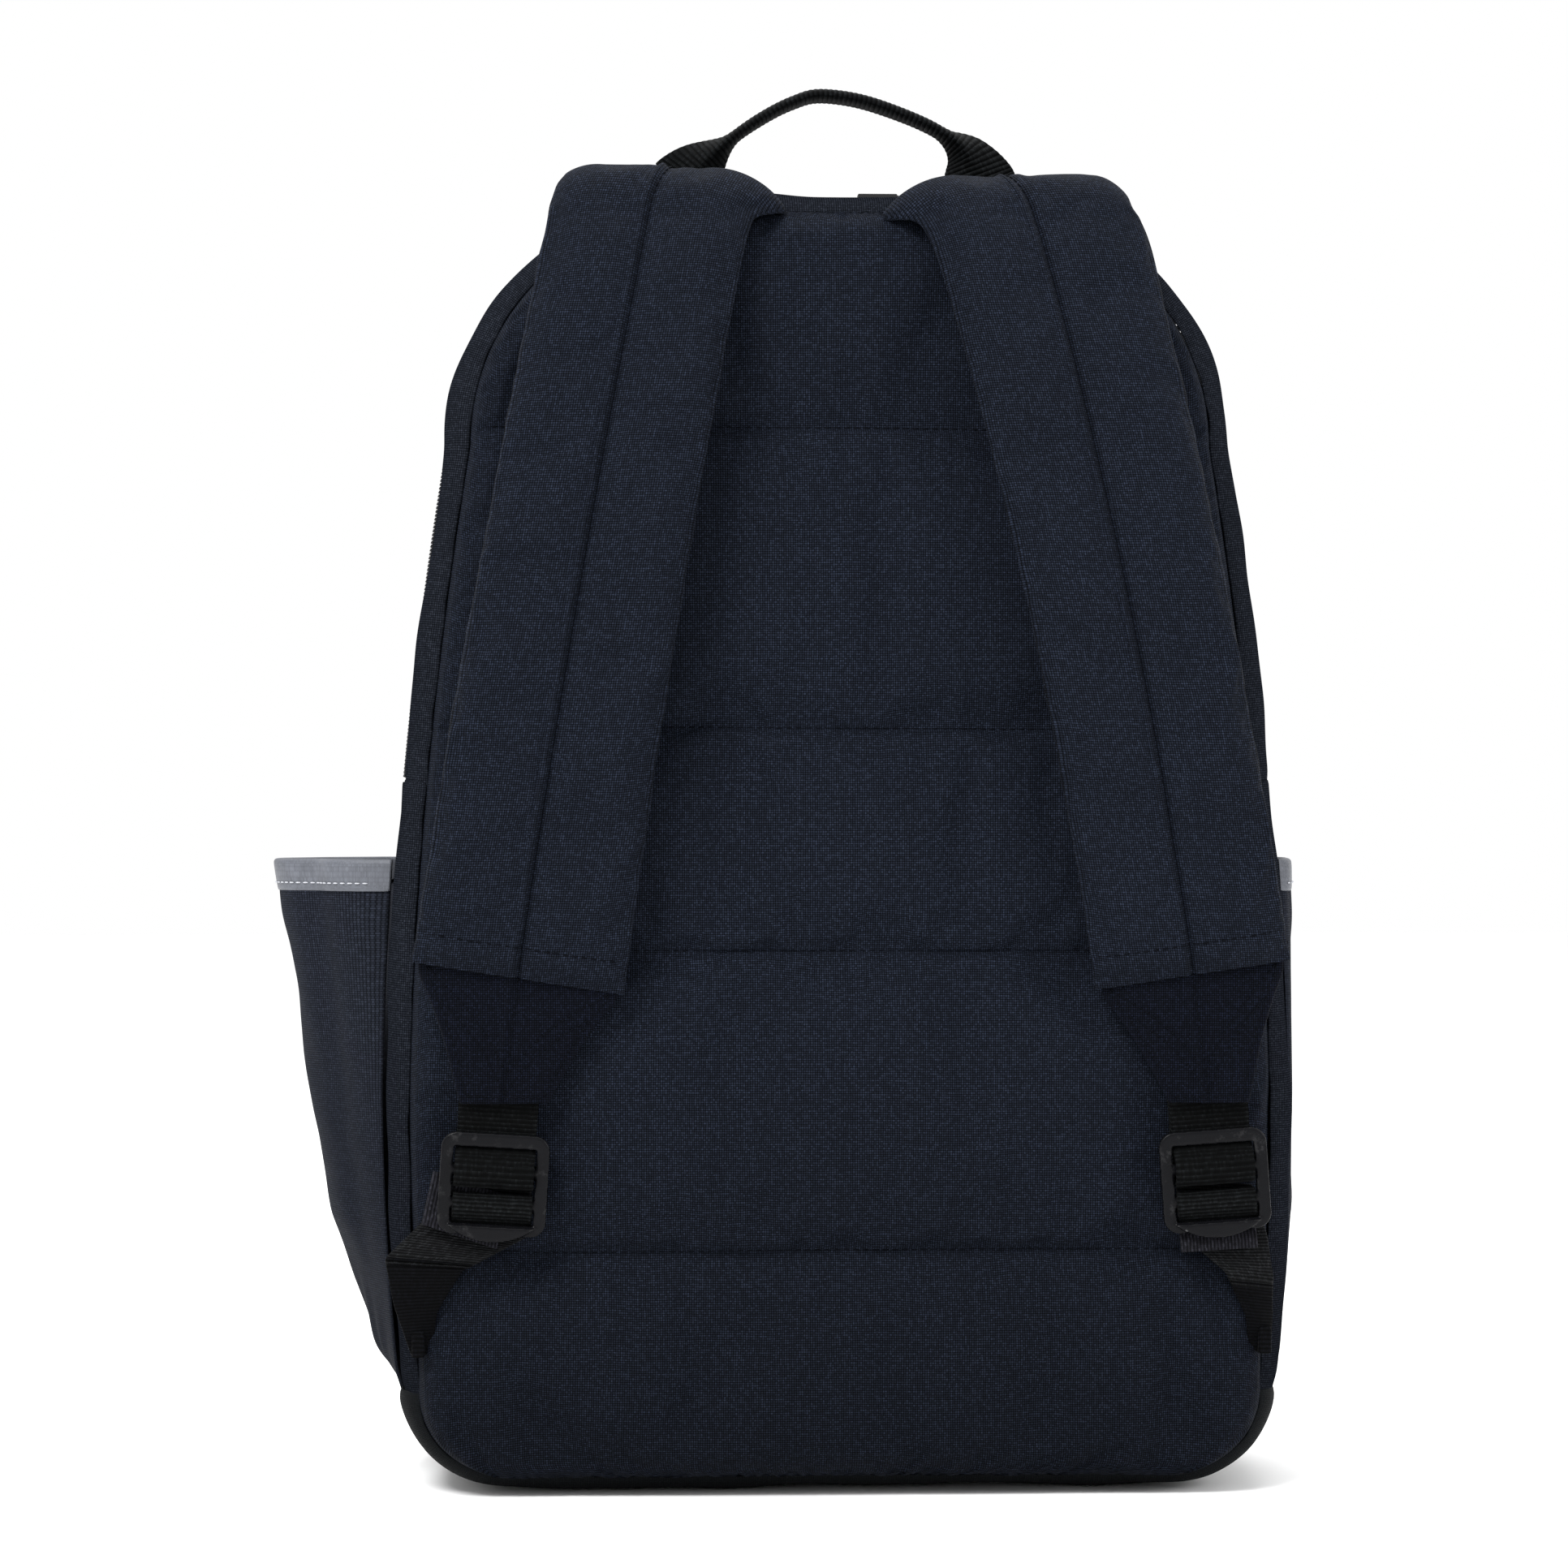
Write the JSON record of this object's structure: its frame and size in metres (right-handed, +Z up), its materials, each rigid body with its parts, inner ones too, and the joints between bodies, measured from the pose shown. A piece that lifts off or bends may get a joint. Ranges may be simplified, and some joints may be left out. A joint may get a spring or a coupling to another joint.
{
  "type": "school backpack",
  "caption": "Arched-top school backpack with padded shoulder straps, quilted back panel, fold-down zipped front, front pocket, side pockets with reflective rims and a webbing handle.",
  "frame": {"origin": "centre of the flat base that the bag stands on", "axes": "+Z up, -Y towards the shoulder straps and the wearer's back, +Y towards the front pocket, +X to the right seen from the strap side"},
  "size_m": [0.3372, 0.187, 0.454],
  "materials": {
    "navy_fabric": "coarse woven polyester, matte",
    "gusset_fabric": "coarse woven polyester, matte",
    "base_fabric": "coated woven polyester, matte",
    "webbing": "ribbed polypropylene webbing",
    "foam": "closed-cell foam",
    "lining": "smooth woven lining",
    "reflective_tape": "glass-bead reflective tape",
    "zip_tape": "twill tape",
    "zip_coil": "nylon coil",
    "zip_pull": "moulded matt",
    "slider_metal": "black lacquered die casting",
    "ladder_lock_plastic": "smooth moulded acetal",
    "base_board": "plain sheet"
  },
  "bodies": {
    "bag": {"adjuster_anchor_left": "webbing", "adjuster_anchor_right": "webbing", "adjuster_webbing_left": "webbing", "adjuster_webbing_right": "webbing", "back_panel_cover": "navy_fabric", "back_panel_foam": "foam", "back_panel_lining": "lining", "back_seam_binding": "lining", "base_board": "base_board", "base_panel": "base_fabric", "front_pocket_coil_rear": "zip_coil", "front_pocket_gusset_rear": "navy_fabric", "front_pocket_lower": "navy_fabric", "front_pocket_tape_rear": "zip_tape", "handle_foot_left": "webbing", "handle_foot_right": "webbing", "lower_front_panel": "navy_fabric", "main_zip_coil_rear": "zip_coil", "main_zip_tape_rear": "zip_tape", "rear_gusset": "gusset_fabric", "reflective_binding_left": "reflective_tape", "reflective_binding_right": "reflective_tape", "side_panel_left": "gusset_fabric", "side_panel_right": "gusset_fabric", "side_pocket_left": "navy_fabric", "side_pocket_right": "navy_fabric", "strap_backing_left": "lining", "strap_backing_right": "lining", "strap_end_patch_left": "navy_fabric", "strap_end_patch_right": "navy_fabric", "strap_end_webbing_left": "webbing", "strap_end_webbing_right": "webbing", "strap_face_left": "navy_fabric", "strap_face_right": "navy_fabric", "strap_foam_left": "foam", "strap_foam_right": "foam", "zip_end_tab_left": "navy_fabric", "zip_end_tab_right": "navy_fabric"},
    "upper_front": {"front_gusset": "gusset_fabric", "upper_front_panel": "navy_fabric", "main_zip_tape_front": "zip_tape", "main_zip_coil_front": "zip_coil"},
    "front_pocket_flap": {"front_pocket_panel": "navy_fabric", "front_pocket_gusset_front": "navy_fabric", "front_pocket_tape_front": "zip_tape", "front_pocket_coil_front": "zip_coil"},
    "main_slider_left": {"main_slider_left": "slider_metal"},
    "main_pull_left": {"main_pull_left": "zip_pull"},
    "main_slider_right": {"main_slider_right": "slider_metal"},
    "main_pull_right": {"main_pull_right": "zip_pull"},
    "front_pocket_slider": {"front_pocket_slider": "slider_metal"},
    "front_pocket_pull": {"front_pocket_pull": "zip_pull"},
    "ladder_lock_left": {"ladder_lock_left": "ladder_lock_plastic", "adjuster_tail_left": "webbing"},
    "ladder_lock_right": {"ladder_lock_right": "ladder_lock_plastic", "adjuster_tail_right": "webbing"},
    "haul_handle": {"haul_handle": "webbing"}
  },
  "joints": [
    {"name": "upper_front_fold", "type": "hinge", "parent": "bag", "child": "upper_front", "pos_m": [0, 0.03795, 0.23], "axis": [-1, 0, 0], "range_deg": [0, 80]},
    {"name": "front_pocket_fold", "type": "hinge", "parent": "bag", "child": "front_pocket_flap", "pos_m": [0, 0.07283, 0.06128], "axis": [-1, 0, 0], "range_deg": [0, 80]},
    {"name": "main_slider_left_run", "type": "slide", "parent": "bag", "child": "main_slider_left", "axis": [-1, 0, 0], "range_m": [0, 0.07]},
    {"name": "main_pull_left_swing", "type": "hinge", "parent": "main_slider_left", "child": "main_pull_left", "pos_m": [0.031, -0.008, 0.42385], "axis": [0, 1, 0], "range_deg": [0, 85]},
    {"name": "main_slider_right_run", "type": "hinge", "parent": "bag", "child": "main_slider_right", "pos_m": [0.045, -0.008, 0.337], "axis": [0, 1, 0], "range_deg": [0, 80]},
    {"name": "main_pull_right_swing", "type": "hinge", "parent": "main_slider_right", "child": "main_pull_right", "pos_m": [0.045, -0.008, 0.42385], "axis": [0, -1, 0], "range_deg": [0, 85]},
    {"name": "front_pocket_slider_run", "type": "slide", "parent": "bag", "child": "front_pocket_slider", "axis": [-1, 0, 0], "range_m": [0, 0.16]},
    {"name": "front_pocket_pull_swing", "type": "hinge", "parent": "front_pocket_slider", "child": "front_pocket_pull", "pos_m": [0.08, 0.05232, 0.20425], "axis": [0, -0.9986, -0.0523], "range_deg": [0, 85]},
    {"name": "ladder_lock_left_tilt", "type": "hinge", "parent": "bag", "child": "ladder_lock_left", "pos_m": [-0.11109, -0.091, 0.10529], "axis": [-0.9981, 0, 0.061], "range_deg": [0, 25]},
    {"name": "ladder_lock_right_tilt", "type": "hinge", "parent": "bag", "child": "ladder_lock_right", "pos_m": [0.11785, -0.091, 0.10589], "axis": [-0.9976, 0, -0.0698], "range_deg": [0, 25]},
    {"name": "haul_handle_fold", "type": "hinge", "parent": "bag", "child": "haul_handle", "pos_m": [0, -0.052, 0.4235], "axis": [-1, 0, 0], "range_deg": [0, 70]}
  ]
}
